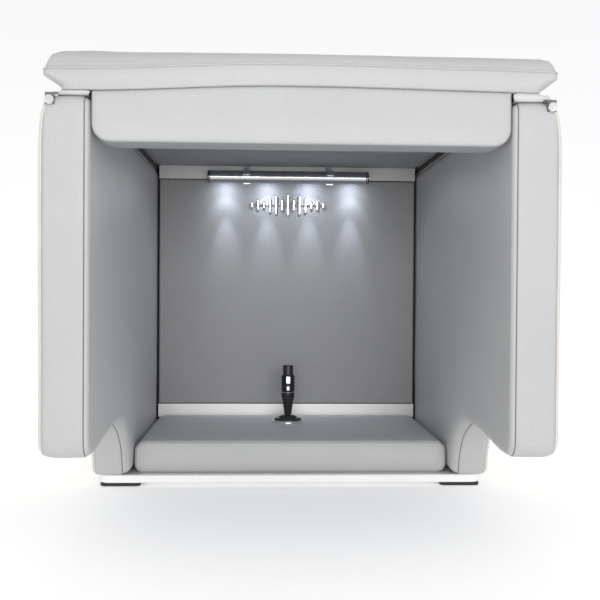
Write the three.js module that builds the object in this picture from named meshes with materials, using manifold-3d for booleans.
// Desktop microphone isolation shield: padded booth on a base plate, with a lift-off lid,
// a tube lamp in clips and a microphone connector standing in the floor.
// Units are millimetres. +Z is up, the open front faces -Y, z = 0 is the table top.
import * as THREE from 'three';
import { RoundedBoxGeometry } from 'three/addons/geometries/RoundedBoxGeometry.js';
import { mergeVertices } from 'three/addons/utils/BufferGeometryUtils.js';
import Module from 'manifold-3d';

const wasm = await Module();
wasm.setup();

// ---- driving dimensions -------------------------------------------------------------
const GAP = 0.3;              // clearance between pieces that touch

const FRONT_Y = -283.5;       // front faces of the side panels and lid
const REAR_Y = 283.5;         // rear face of the back cover
const BASE_BOTTOM = 5;        // top of the feet
const BASE_TOP = 15;
const BASE_HALF = 242;
const BASE_FRONT = -12;
const BASE_REAR = 279;
const FOOT = { halfX: 25, halfY: 20, centreX: 215, frontY: 12, rearY: 250, radius: 6 };

const INNER_HALF = 200;       // inner faces of the side panels
const PANEL_Z = 15.3;         // underside of everything that stands on the base plate
const PANEL_TOP = 428.5;
const PAD_OUT = 244.5;        // outer side of the side pads
const BOARD_IN = 231.7;       // plywood core of a side panel, inner and outer face
const BOARD_OUT = 244.2;
const COVER_IN = 244.8;       // outer cover of a side panel
const OUTER_HALF = 248.5;
const SHOULDER = { across: 18, down: 60 };    // rolled upper outer edge of a side panel
const BACK_BOARD = [258.3, 270.3];
const ABSORBER = [236.5, 257.9];
const STRIP_Y = 235.2;        // front faces of the two aluminium strips
const STRIP_LOW = [52, 72];
const STRIP_HIGH = [417, 437];
const STRIP_HALF = 196.5;

const CUSHION = { half: 198.8, front: -0.5, rear: 232.8, top: 55, radius: 11 };

const CEILING_Z = 437.5;
const LID_RIM_Z = 438.5;      // lower edge of the lid cover
const LID_BOARD_Z = [441, 453];
const LID_SIDE = 244.5;       // widest half width of the lid cover
const LID_PINCH = 228;        // half width at the pinched lower edge
const LID_SEAM_Z = 456;
const LID_EDGE_Z = 470.5;
const LID_CROWN_Z = 475;
const VALANCE = { half: 198.8, front: -283, rear: -240, bottom: 385.5, corner: 16 };

const THUMB = { x: 236.5, z: 422.8, shankR: 2, headR: 4.5, head: [-289.5, -285.4] };

const LAMP = { y: 210, z: 417.5, r: 9.25, bore: 8.05, half: 117, capEnd: 121.2, pitch: 63 };
const CLIP_X = 62.5;

const MIC_Y = 162.5;          // axis of the microphone connector
const LEAD_R = 3.1;
const OUTLET_Z = 36;
const OUTLET_END = 289.5;

// ---- colours and finishes -----------------------------------------------------------
function finish(hex, roughness, metalness = 0, extra = {}) {
  return new THREE.MeshStandardMaterial({ color: hex, roughness, metalness, ...extra });
}
const LOOK = {
  greyCover: finish(0xb9bbbb, 0.55),
  paleCover: finish(0xe6e3da, 0.5),
  weave: finish(0x7d8084, 0.9),
  lining: finish(0x8c9096, 0.85),
  plywood: finish(0xc8a878, 0.7),
  laminate: finish(0xf0f0ee, 0.35),
  rubber: finish(0x151515, 0.85),
  aluminium: finish(0xb8b6b4, 0.35, 1),
  lampMetal: finish(0x8f9296, 0.3, 1),
  chrome: finish(0xd8d9db, 0.08, 1),
  steel: finish(0x9a9ca0, 0.35, 1),
  blackPlastic: finish(0x161618, 0.45),
  blackMetal: finish(0x1b1b1d, 0.35, 0.6),
  frosted: finish(0xeaf0f6, 0.4),
  led: finish(0xf4f8ff, 0.2),
  circuit: finish(0xe8ece8, 0.5),
  cell: finish(0x6c7076, 0.4, 0.5),
};

// ---- geometry helpers ---------------------------------------------------------------
function toSolid(geometry) {
  const bare = geometry.clone();
  bare.deleteAttribute('normal');
  bare.deleteAttribute('uv');
  const merged = mergeVertices(bare, 1e-4);
  const corners = merged.index.array;
  const kept = [];
  for (let i = 0; i < corners.length; i += 3) {
    const [a, b, c] = corners.slice(i, i + 3);
    if (a !== b && b !== c && c !== a) kept.push(a, b, c);
  }
  return new wasm.Manifold(new wasm.Mesh({
    numProp: 3,
    vertProperties: new Float32Array(merged.attributes.position.array),
    triVerts: new Uint32Array(kept),
  }));
}

function toGeometry(solid) {
  const mesh = solid.getMesh();
  const geometry = new THREE.BufferGeometry();
  geometry.setAttribute('position', new THREE.BufferAttribute(new Float32Array(mesh.vertProperties), 3));
  geometry.setIndex(new THREE.BufferAttribute(new Uint32Array(mesh.triVerts), 1));
  geometry.computeVertexNormals();
  return geometry;
}

function union(first, ...others) {
  return toGeometry(others.reduce((sum, item) => sum.add(toSolid(item)), toSolid(first)));
}

function cut(body, ...tools) {
  return toGeometry(tools.reduce((left, tool) => left.subtract(toSolid(tool)), toSolid(body)));
}

function common(a, b) {
  return toGeometry(toSolid(a).intersect(toSolid(b)));
}

function box(x, y, z) {
  const geometry = new THREE.BoxGeometry(x[1] - x[0], y[1] - y[0], z[1] - z[0]);
  return geometry.translate((x[0] + x[1]) / 2, (y[0] + y[1]) / 2, (z[0] + z[1]) / 2);
}

// Solid of revolution about Z from [radius, z] pairs that start and end on the axis or close.
function turned(profile, x = 0, y = 0, segments = 28) {
  const points = profile.map(([r, h]) => new THREE.Vector2(r, h));
  const geometry = new THREE.LatheGeometry(points, segments);
  geometry.rotateX(Math.PI / 2);
  return geometry.translate(x, y, 0);
}

function rod(r, z, x = 0, y = 0, segments = 20) {
  return turned([[0, z[0]], [r, z[0]], [r, z[1]], [0, z[1]]], x, y, segments);
}

// The same, lying along X or Y, with the span given along that axis.
function rodX(r, span, y, z, segments = 24) {
  return rod(r, span, 0, 0, segments).rotateY(Math.PI / 2).translate(0, y, z);
}

function rodY(r, span, x, z, segments = 20) {
  return rod(r, span, 0, 0, segments).rotateX(-Math.PI / 2).translate(x, 0, z);
}

// Points of a closed outline, each one apart from the one before it.
function distinct(points, apart = 0.02) {
  return points.filter((p, i) => p.distanceTo(points[(i || points.length) - 1]) > apart);
}

function extrude(shape, depth, edge = 0, curveSegments = 8) {
  return new THREE.ExtrudeGeometry(new THREE.Shape(distinct(shape.getPoints(curveSegments))), {
    depth: depth - 2 * edge,
    bevelEnabled: edge > 0,
    bevelSize: edge,
    bevelThickness: edge,
    bevelOffset: -edge,
    bevelSegments: edge > 3 ? 2 : 1,
  }).translate(0, 0, edge);
}

// Prisms: the outline lies in YZ, XZ or XY and is drawn out along the remaining axis.
function prismX(shape, x, edge, curveSegments) {
  const turn = new THREE.Matrix4().makeBasis(
    new THREE.Vector3(0, 1, 0), new THREE.Vector3(0, 0, 1), new THREE.Vector3(1, 0, 0));
  return extrude(shape, x[1] - x[0], edge, curveSegments).applyMatrix4(turn).translate(x[0], 0, 0);
}

function prismY(shape, y, edge, curveSegments) {
  return extrude(shape, y[1] - y[0], edge, curveSegments).rotateX(Math.PI / 2).translate(0, y[1], 0);
}

function prismZ(shape, z, edge, curveSegments) {
  return extrude(shape, z[1] - z[0], edge, curveSegments).translate(0, 0, z[0]);
}

// Rectangle with its own radius at each corner: lower left, lower right, upper right, upper left.
function roundedRect(a0, a1, b0, b1, radii) {
  const [ll, lr, ur, ul] = radii;
  const shape = new THREE.Shape();
  shape.moveTo(a0 + ll, b0);
  shape.lineTo(a1 - lr, b0);
  if (lr) shape.absarc(a1 - lr, b0 + lr, lr, -Math.PI / 2, 0);
  shape.lineTo(a1, b1 - ur);
  if (ur) shape.absarc(a1 - ur, b1 - ur, ur, 0, Math.PI / 2);
  shape.lineTo(a0 + ul, b1);
  if (ul) shape.absarc(a0 + ul, b1 - ul, ul, Math.PI / 2, Math.PI);
  shape.lineTo(a0, b0 + ll);
  if (ll) shape.absarc(a0 + ll, b0 + ll, ll, Math.PI, 1.5 * Math.PI);
  return shape;
}

function polygon(points) {
  return new THREE.Shape(points.map(([a, b]) => new THREE.Vector2(a, b)));
}

// Part of an annulus, angles in degrees from the first axis.
function arcBand(inner, outer, fromDeg, toDeg, steps, a = 0, b = 0) {
  const points = [];
  for (let i = 0; i <= steps; i += 1) {
    const t = THREE.MathUtils.degToRad(fromDeg + (toDeg - fromDeg) * i / steps);
    points.push([a + outer * Math.cos(t), b + outer * Math.sin(t)]);
  }
  for (let i = steps; i >= 0; i -= 1) {
    const t = THREE.MathUtils.degToRad(fromDeg + (toDeg - fromDeg) * i / steps);
    points.push([a + inner * Math.cos(t), b + inner * Math.sin(t)]);
  }
  return polygon(points);
}

// Copy on the other side of the YZ plane, with its faces still pointing out.
function mirrored(geometry) {
  const copy = geometry.index ? geometry.clone() : mergeVertices(geometry.clone());
  copy.scale(-1, 1, 1);
  const index = copy.index.array;
  for (let i = 0; i < index.length; i += 3) {
    [index[i], index[i + 1]] = [index[i + 1], index[i]];
  }
  copy.computeVertexNormals();
  return copy;
}

const group = new THREE.Group();
group.name = 'microphone_isolation_shield';

function piece(name, geometry, material) {
  const mesh = new THREE.Mesh(geometry, material);
  mesh.name = name;
  group.add(mesh);
}

// Left (-X) and right (+X) copies of a piece drawn on the right.
function pair(name, geometry, material) {
  piece(`${name}_l`, mirrored(geometry), material);
  piece(`${name}_r`, geometry, material);
}

// ---- side panels --------------------------------------------------------------------
// Outline of a side panel in YZ. The front half hangs past the base plate, and its lower
// edge sweeps up into the shoulder cut-out.
function sideOutline(rear) {
  const s = new THREE.Shape();
  s.moveTo(rear, PANEL_Z);
  s.lineTo(-8, PANEL_Z);
  s.absarc(-8, PANEL_Z + 10, 10, -Math.PI / 2, Math.PI * 1.04, true);
  s.bezierCurveTo(-26, 62, -52, 92.5, -112, 92.5);
  s.bezierCurveTo(-158, 92.5, -186, 85, -235, 85);
  s.lineTo(FRONT_Y + 22, 86);
  s.quadraticCurveTo(FRONT_Y, 86, FRONT_Y, 108);
  s.lineTo(FRONT_Y, PANEL_TOP - 9);
  s.absarc(FRONT_Y + 9, PANEL_TOP - 9, 9, Math.PI, Math.PI / 2, true);
  s.lineTo(rear, PANEL_TOP);
  return s;
}

const padRear = BACK_BOARD[0] - 2 * GAP;

// The outline moved inwards, with its lower, upper and rear edges put where asked.
function insetOutline(distance, rear, low, high) {
  const raw = distinct(sideOutline(padRear).getPoints(8));
  const outline = raw.map((p, i) => {
    const before = raw[(i + raw.length - 1) % raw.length];
    const after = raw[(i + 1) % raw.length];
    const a = p.clone().sub(before).normalize();
    const b = after.clone().sub(p).normalize();
    const tangent = a.add(b).normalize();
    return new THREE.Vector2(p.x + tangent.y * distance, p.y - tangent.x * distance);
  });
  const placed = outline.map((p) => new THREE.Vector2(
    p.x > padRear - 2 * distance ? rear : p.x,
    p.y < PANEL_Z + 1.2 * distance ? low : (p.y > PANEL_TOP - 1.2 * distance ? high : p.y)));
  return new THREE.Shape(distinct(placed, 0.2));
}

// Half section of the body in XZ. Its upper outer edge rolls over, drawn inset from the cover.
function shoulderPoints(inset) {
  const outer = OUTER_HALF - inset;
  const top = PANEL_TOP - inset;
  const points = [[outer, 0]];
  const steps = 7;
  for (let i = 0; i <= steps; i += 1) {
    const t = Math.PI / 2 * i / steps;
    points.push([outer - SHOULDER.across * (1 - Math.cos(t) ** (2 / 3)),
      top - SHOULDER.down * (1 - Math.sin(t) ** (2 / 3))]);
  }
  return points;
}

function shoulderPrism(inset, y = [-300, 300]) {
  const right = shoulderPoints(inset);
  const left = right.map(([x, z]) => [-x, z]).reverse();
  return prismY(polygon([...right, ...left]), y);
}

const thumbHole = rodY(THUMB.shankR + 0.6, [FRONT_Y - 1, FRONT_Y + 10], THUMB.x, THUMB.z, 16);
const WRAP = 1.2;             // cover and foam over the top edge of a board
const padBlank = common(prismX(sideOutline(padRear), [INNER_HALF, PAD_OUT + 10], 6), shoulderPrism(0));
const boardPocket = common(shoulderPrism(WRAP - GAP), prismX(
  insetOutline(6, padRear + 5, PANEL_Z - 5, PANEL_TOP + 5), [BOARD_IN - GAP, PAD_OUT + 12]));
const sidePad = cut(padBlank, box([PAD_OUT, 300], [-300, 300], [0, 450]), boardPocket, thumbHole);

const boardRear = BACK_BOARD[0] - GAP;
const screwX = 236.2;
const screwY = [40, 225];
const sideBoard = cut(
  common(shoulderPrism(WRAP), prismX(
    insetOutline(6.3, boardRear, PANEL_Z, PANEL_TOP), [BOARD_IN, BOARD_OUT])),
  rodY(THUMB.shankR + 0.1, [FRONT_Y, FRONT_Y + 24], THUMB.x, THUMB.z, 16),
  ...screwY.map((y) => rod(2.05, [PANEL_Z - 5, 41], screwX, y, 14)));

const coverRear = BACK_BOARD[1];
const coverBlank = prismX(sideOutline(coverRear), [COVER_IN - 12, OUTER_HALF], 3);
const sideCover = cut(common(coverBlank, shoulderPrism(0)), box([0, COVER_IN], [-300, 300], [0, 450]));

pair('side_pad', sidePad, LOOK.greyCover);
pair('side_board', sideBoard, LOOK.plywood);
pair('side_cover', sideCover, LOOK.paleCover);

// ---- base plate, feet and screws ----------------------------------------------------
const footPlaces = {
  foot_front_l: [-FOOT.centreX, FOOT.frontY],
  foot_front_r: [FOOT.centreX, FOOT.frontY],
  foot_rear_l: [-FOOT.centreX, FOOT.rearY],
  foot_rear_r: [FOOT.centreX, FOOT.rearY],
};
const screwPlaces = [-1, 1].flatMap((side) => screwY.map((y) => [side * screwX, y]));

const headProfile = [[0, BASE_BOTTOM + 0.1], [4, BASE_BOTTOM + 0.1], [1.9, BASE_BOTTOM + 2.6],
  [1.9, 40], [0, 40]];
const sinkProfile = [[0, BASE_BOTTOM - 1], [4.3, BASE_BOTTOM - 1], [4.3, BASE_BOTTOM + 0.1],
  [2.2, BASE_BOTTOM + 2.7], [2.2, BASE_TOP + 1], [0, BASE_TOP + 1]];

piece('base_plate', cut(
  prismZ(roundedRect(-BASE_HALF, BASE_HALF, BASE_FRONT, BASE_REAR, [14, 14, 8, 8]),
    [BASE_BOTTOM, BASE_TOP], 1.2, 4),
  ...Object.values(footPlaces).map(([x, y]) => rod(4.3, [0, BASE_BOTTOM + 6.5], x, y, 16)),
  ...screwPlaces.map(([x, y]) => turned(sinkProfile, x, y, 16))), LOOK.laminate);

for (const [name, [x, y]] of Object.entries(footPlaces)) {
  const radii = [FOOT.radius, FOOT.radius, FOOT.radius, FOOT.radius];
  const pad = prismZ(roundedRect(x - FOOT.halfX, x + FOOT.halfX, y - FOOT.halfY, y + FOOT.halfY, radii),
    [0, BASE_BOTTOM - GAP], 0.8, 3);
  piece(name, union(pad, rod(4, [2, BASE_BOTTOM + 6], x, y, 16)), LOOK.rubber);
}

screwPlaces.forEach(([x, y], i) => {
  const side = x < 0 ? 'l' : 'r';
  piece(`panel_screw_${side}${(i % 2) + 1}`, turned(headProfile, x, y, 14), LOOK.steel);
});

// ---- back panel ---------------------------------------------------------------------
const outletBore = rodY(12, [240, 300], 0, OUTLET_Z, 28);
piece('back_board', cut(common(shoulderPrism(WRAP),
  box([-BOARD_OUT, BOARD_OUT], BACK_BOARD, [PANEL_Z, PANEL_TOP])), outletBore), LOOK.plywood);

const backBlank = prismY(roundedRect(-OUTER_HALF, OUTER_HALF, PANEL_Z, PANEL_TOP, [6, 6, 8, 8]),
  [BACK_BOARD[1] - 10, REAR_Y], 5, 4);
piece('back_cover', cut(common(backBlank, shoulderPrism(0, [BACK_BOARD[1] + GAP, 300])), outletBore),
  LOOK.paleCover);

const studX = [-45, 45];
const emblemZ = 378;
piece('back_absorber', cut(
  box([-196.2, 196.2], ABSORBER, [STRIP_LOW[1] + GAP, STRIP_HIGH[0] - GAP]),
  ...studX.map((x) => rodY(1.4, [ABSORBER[0] - 1, ABSORBER[0] + 5], x, emblemZ, 10))), LOOK.weave);

// Aluminium angle: a 20 mm face and a web that runs back to the board.
function strip(span, webAt) {
  const face = box([-STRIP_HALF, STRIP_HALF], [STRIP_Y, STRIP_Y + 1.0], span);
  const web = box([-STRIP_HALF, STRIP_HALF], [STRIP_Y, ABSORBER[1]], webAt);
  return union(face, web);
}
const clipScrewZ = 431.5;
piece('strip_upper', cut(
  strip(STRIP_HIGH, [STRIP_HIGH[1] - 1.5, STRIP_HIGH[1]]),
  ...[-CLIP_X, CLIP_X].map((x) => rodY(1.35, [230, 240], x, clipScrewZ, 12))), LOOK.aluminium);
piece('strip_lower', strip(STRIP_LOW, [STRIP_LOW[0], STRIP_LOW[0] + 1.5]), LOOK.aluminium);

// Row of rounded level bars on one rail.
const BAR_HEIGHTS = [9, 16, 12, 24, 30, 18, 33, 18, 30, 24, 12, 16, 9];
const barParts = BAR_HEIGHTS.map((height, i) => {
  const x = (i - (BAR_HEIGHTS.length - 1) / 2) * 9.1;
  return prismY(roundedRect(x - 2, x + 2, emblemZ - height / 2, emblemZ + height / 2,
    [1.9, 1.9, 1.9, 1.9]), [233.2, ABSORBER[0] - GAP], 0, 2);
});
const rail = box([-56, 56], [234.4, ABSORBER[0] - GAP], [emblemZ - 1, emblemZ + 1]);
piece('emblem', union(rail, ...barParts,
  ...studX.map((x) => rodY(1.2, [235, ABSORBER[0] + 4.5], x, emblemZ, 10))), LOOK.chrome);

// ---- floor cushion ------------------------------------------------------------------
const cushionBlock = new RoundedBoxGeometry(2 * CUSHION.half, CUSHION.rear - CUSHION.front,
  CUSHION.top - PANEL_Z, 3, CUSHION.radius)
  .translate(0, (CUSHION.rear + CUSHION.front) / 2, (CUSHION.top + PANEL_Z) / 2);
piece('floor_cushion', cut(cushionBlock,
  rod(9, [10, 60], 0, MIC_Y, 24),
  box([-4.5, 4.5], [MIC_Y, 240], [10, 30])), LOOK.greyCover);

// ---- microphone connector and its lead ----------------------------------------------
piece('mic_flange', turned([[13, 55.3], [20, 55.3], [20, 59.8], [18.2, 61.8], [13, 61.8], [13, 55.3]],
  0, MIC_Y, 32), LOOK.blackPlastic);
piece('mic_rim', turned([[20.2, 55.3], [22.3, 55.3], [22.3, 57.4], [21.2, 58.8], [20.2, 58.8], [20.2, 55.3]],
  0, MIC_Y, 32), LOOK.chrome);
piece('mic_grommet', turned([[3.6, 46], [8.6, 46], [8.6, 55.4], [12.7, 55.4], [12.7, 62.6], [11, 64],
  [5, 65], [3.6, 65], [3.6, 46]], 0, MIC_Y, 28), LOOK.rubber);

const bootProfile = [[3.4, 66.3]];
const RIBS = 5;
for (let i = 0; i < RIBS; i += 1) {
  const low = 66.3 + i * 3.6;
  const radius = 5.1 + i * 0.5;
  bootProfile.push([radius, low], [radius + 0.35, low + 2.2], [radius - 0.3, low + 2.4],
    [radius - 0.2, low + 3.6]);
}
bootProfile.push([7.9, 85.4], [9.2, 92.8], [8.9, 94], [3.4, 94], [3.4, 66.3]);
piece('connector_boot', turned(bootProfile, 0, MIC_Y, 16), LOOK.rubber);

const shellProfile = [[3.5, 94.3], [9.2, 94.3], [9.6, 95.3], [9.6, 98], [9.2, 98.4], [9.2, 99.4],
  [9.6, 99.8], [9.6, 122.8], [8.8, 124], [7.65, 124], [7.65, 100], [3.5, 100], [3.5, 94.3]];
const latchPocket = box([-3.2, 3.2], [MIC_Y - 12, MIC_Y - 5], [111.7, 122.6]);
piece('connector_shell', cut(turned(shellProfile, 0, MIC_Y, 32), latchPocket), LOOK.blackMetal);

const contactAngles = [210, 330, 90].map(THREE.MathUtils.degToRad);
piece('connector_insert', cut(
  turned([[0, 100.3], [7.45, 100.3], [7.45, 137], [6.8, 138], [0, 138]], 0, MIC_Y, 28),
  ...contactAngles.map((t) => rod(1.35, [122, 140], 3.9 * Math.cos(t), MIC_Y + 3.9 * Math.sin(t), 10)),
  box([-1.2, 1.2], [MIC_Y - 9, MIC_Y - 6.3], [124.5, 140])), LOOK.blackPlastic);
piece('connector_latch', prismY(roundedRect(-2.9, 2.9, 112, 122.3, [1, 1, 1, 1]),
  [MIC_Y - 10.3, MIC_Y - 8.4], 0.4, 2), LOOK.steel);

const leadPath = new THREE.CurvePath();
const leadCorners = [[MIC_Y, 98], [MIC_Y, 23], [247, 23], [247, OUTLET_Z], [265.5, OUTLET_Z]];
const leadBends = [[14, 14], [6.4, 6.4], [6.4, 6.4]];
let leadAt = new THREE.Vector3(0, ...leadCorners[0]);
leadBends.forEach(([before, after], i) => {
  const corner = new THREE.Vector3(0, ...leadCorners[i + 1]);
  const next = new THREE.Vector3(0, ...leadCorners[i + 2]);
  const start = corner.clone().add(leadAt.clone().sub(corner).setLength(before));
  const end = corner.clone().add(next.clone().sub(corner).setLength(after));
  leadPath.add(new THREE.LineCurve3(leadAt, start));
  leadPath.add(new THREE.QuadraticBezierCurve3(start, corner, end));
  leadAt = end;
});
leadPath.add(new THREE.LineCurve3(leadAt, new THREE.Vector3(0, ...leadCorners[4])));
const leadSection = new THREE.Shape();
leadSection.absarc(0, 0, LEAD_R, 0, 2 * Math.PI);
piece('lead', new THREE.ExtrudeGeometry(leadSection,
  { steps: 38, curveSegments: 4, extrudePath: leadPath, bevelEnabled: false }), LOOK.rubber);

// ---- rear outlet --------------------------------------------------------------------
const outletPlate = prismY(roundedRect(-13, 13, OUTLET_Z - 15.5, OUTLET_Z + 15.5, [3, 3, 3, 3]),
  [REAR_Y + GAP, REAR_Y + 2.6], 0.5, 5);
piece('outlet_shell', cut(
  union(outletPlate, rodY(11.6, [266, REAR_Y + 2], 0, OUTLET_Z, 28),
    rodY(12.4, [REAR_Y + 1, OUTLET_END], 0, OUTLET_Z, 28)),
  rodY(9.6, [271, 300], 0, OUTLET_Z, 28),
  rodY(6, [260, 272], 0, OUTLET_Z, 20),
  ...[[-9.5, -12], [9.5, 12]].map(([x, z]) => rodY(1.7, [280, 290], x, OUTLET_Z + z, 10))),
LOOK.blackMetal);
piece('outlet_insert', union(
  rodY(9.3, [271.3, 274.5], 0, OUTLET_Z, 28),
  rodY(5.7, [267.5, 272], 0, OUTLET_Z, 20),
  ...contactAngles.map((t) => rodY(1.2, [274, 285.5], 3.9 * Math.cos(t), OUTLET_Z + 3.9 * Math.sin(t), 10))),
LOOK.blackPlastic);

// ---- lid ----------------------------------------------------------------------------
// Outline across X, pinched at the lower corners, and outline along Y; the cover is where
// the two prisms meet.
function lidEdge(wide, low) {
  const s = new THREE.Shape();
  s.moveTo(-low, LID_RIM_Z);
  s.lineTo(low, LID_RIM_Z);
  s.quadraticCurveTo(low + 2, LID_SEAM_Z - 6, wide, LID_SEAM_Z);
  s.quadraticCurveTo(wide, LID_EDGE_Z, wide - 14, LID_EDGE_Z);
  s.quadraticCurveTo(0, 2 * LID_CROWN_Z - LID_EDGE_Z, -(wide - 14), LID_EDGE_Z);
  s.quadraticCurveTo(-wide, LID_EDGE_Z, -wide, LID_SEAM_Z);
  s.quadraticCurveTo(-(low + 2), LID_SEAM_Z - 6, -low, LID_RIM_Z);
  return s;
}
const lidBlank = common(
  prismY(lidEdge(LID_SIDE, LID_PINCH), [FRONT_Y - 5, REAR_Y + 5], 0, 8),
  prismX(lidEdge(-FRONT_Y, -FRONT_Y - 2), [-LID_SIDE - 5, LID_SIDE + 5], 0, 8));
piece('lid_cover', cut(lidBlank,
  box([-221.3, 221.3], [-268, 268], [LID_RIM_Z - 5, LID_BOARD_Z[1] + GAP])), LOOK.greyCover);
piece('lid_board', box([-221, 221], [-267.7, 267.7], LID_BOARD_Z), LOOK.plywood);
piece('lid_lining', box([-198.4, 198.4], [VALANCE.rear + GAP, ABSORBER[1]],
  [CEILING_Z, LID_BOARD_Z[0] - GAP]), LOOK.lining);

// Soft lip that seats on the side and back panels, with pockets for the two latch tabs.
const tabLeg = { x: [229, 238.5], rear: -262, z: [428.9, 430.1] };
const lipTop = LID_RIM_Z - GAP;
const lipBlank = union(
  cut(prismZ(roundedRect(-239.5, 239.5, -283, 283, [4, 4, 4, 4]), [PANEL_TOP - 8, lipTop], 1.5, 3),
    shoulderPrism(-GAP)),
  box([-220, 220], [-266, 266], [lipTop - 2, LID_BOARD_Z[0] - GAP]));
piece('lid_lip', cut(lipBlank,
  box([-200.3, 200.3], [-300, BACK_BOARD[0]], [400, 460]),
  ...[-1, 1].map((side) => box(
    tabLeg.x.map((x, i) => side * (x + (2 * i - 1) * GAP)).sort((a, b) => a - b),
    [-300, tabLeg.rear + GAP], [tabLeg.z[0] - GAP, tabLeg.z[1] + GAP]))),
LOOK.paleCover);

const valanceShape = roundedRect(-VALANCE.half, VALANCE.half, VALANCE.bottom, 460,
  [VALANCE.corner, VALANCE.corner, 0, 0]);
const battenY = [-265, -247];
piece('valance_pad', cut(
  prismY(valanceShape, [VALANCE.front, VALANCE.rear], 7, 8),
  box([-300, 300], [-300, -200], [LID_BOARD_Z[0] - GAP, 480]),
  box([-300, 300], [-300, -267.4], [lipTop, 480]),
  box([-180.3, 180.3], [battenY[0] - GAP, battenY[1] + GAP], [405 - GAP, 480])), LOOK.greyCover);
piece('valance_batten', box([-180, 180], battenY, [405, LID_BOARD_Z[0] - GAP]), LOOK.plywood);

// Latch tab: hangs in front of the side panel, with a slot open downwards for the screw.
const tabPlate = union(
  box([THUMB.x - 4.4, THUMB.x + 4.4], [-285.1, -283.9], [419, tabLeg.z[1]]),
  box(tabLeg.x, [-285.1, tabLeg.rear], tabLeg.z));
pair('lid_tab', cut(tabPlate,
  rodY(THUMB.shankR + 0.4, [-290, -280], THUMB.x, THUMB.z, 16),
  box([THUMB.x - THUMB.shankR - 0.4, THUMB.x + THUMB.shankR + 0.4], [-290, -280], [400, THUMB.z])),
LOOK.chrome);

// Thumb screw with a fluted head.
const FLUTES = 12;
const fluteOutline = [];
for (let i = 0; i < FLUTES * 2; i += 1) {
  const radius = THUMB.headR - (i % 2) * 0.35;
  const t = Math.PI * i / FLUTES;
  fluteOutline.push([THUMB.x + radius * Math.cos(t), THUMB.z + radius * Math.sin(t)]);
}
pair('thumb_screw', union(
  prismY(polygon(fluteOutline), THUMB.head, 0.5),
  rodY(THUMB.shankR, [THUMB.head[1] - 1, FRONT_Y + 22], THUMB.x, THUMB.z, 16)), LOOK.chrome);

// ---- lamp and clips -----------------------------------------------------------------
// Angles run from +Y (0) over +Z (90) to the front (180).
piece('lamp_body', prismX(arcBand(LAMP.bore, LAMP.r, -32, 212, 36, LAMP.y, LAMP.z),
  [-LAMP.half, LAMP.half]), LOOK.lampMetal);
piece('lamp_diffuser', prismX(arcBand(LAMP.bore + 0.2, LAMP.r, 213.5, 326.5, 14, LAMP.y, LAMP.z),
  [-LAMP.half, LAMP.half]), LOOK.frosted);
piece('lamp_circuit', box([-110, 110], [LAMP.y - 5.6, LAMP.y + 5.6], [LAMP.z - 5.3, LAMP.z - 4.1]),
  LOOK.circuit);
piece('lamp_cell', rodX(5.1, [-68, 68], LAMP.y, LAMP.z + 2.6, 16), LOOK.cell);
for (let i = 0; i < 4; i += 1) {
  const top = LAMP.z - 5.5;
  piece(`led_${i + 1}`, turned([[0, top - 2.1], [0.9, top - 1.95], [1.7, top - 1.4], [2.2, top - 0.5],
    [2.2, top], [0, top]], (i - 1.5) * LAMP.pitch, LAMP.y, 12), LOOK.led);
}

const capBody = union(
  rodX(9.5, [LAMP.half + GAP, LAMP.capEnd], LAMP.y, LAMP.z, 24),
  rodX(7.8, [111.5, LAMP.half + 1], LAMP.y, LAMP.z, 24));
const capCavity = rodX(5.3, [110, 116.3], LAMP.y, LAMP.z, 24);
piece('lamp_cap_l', mirrored(cut(capBody, capCavity)), LOOK.blackPlastic);
piece('lamp_cap_r', cut(capBody, capCavity, rodX(3.7, [112, 125], LAMP.y, LAMP.z, 24)),
  LOOK.blackPlastic);
piece('lamp_button', union(
  rodX(3.5, [115, LAMP.capEnd + 1.5], LAMP.y, LAMP.z, 24),
  rodX(4.8, [114.2, 116], LAMP.y, LAMP.z, 24)), LOOK.steel);

const clipBand = arcBand(LAMP.r + 0.1, LAMP.r + 1.5, -80, 168, 36, LAMP.y, LAMP.z);
for (const [name, x] of [['clip_l', -CLIP_X], ['clip_r', CLIP_X]]) {
  const span = [x - 5, x + 5];
  piece(name, cut(union(
    prismX(clipBand, span),
    box(span, [LAMP.y + 6, STRIP_Y - 1.4], [424.8, 426.3]),
    box(span, [STRIP_Y - 1.8, STRIP_Y - GAP], [419, 436.6])),
  rodY(1.35, [230, 240], x, clipScrewZ, 12)), LOOK.steel);
  const start = STRIP_Y - 1.8;
  const head = [[0, -2.0], [1.6, -1.8], [2.4, -1.0], [2.5, -0.1], [1.2, -0.1], [1.2, 4], [0, 4]];
  piece(`clip_screw_${name.slice(-1)}`,
    turned(head, 0, 0, 14).rotateX(-Math.PI / 2).translate(x, start, clipScrewZ), LOOK.steel);
}

export default group;
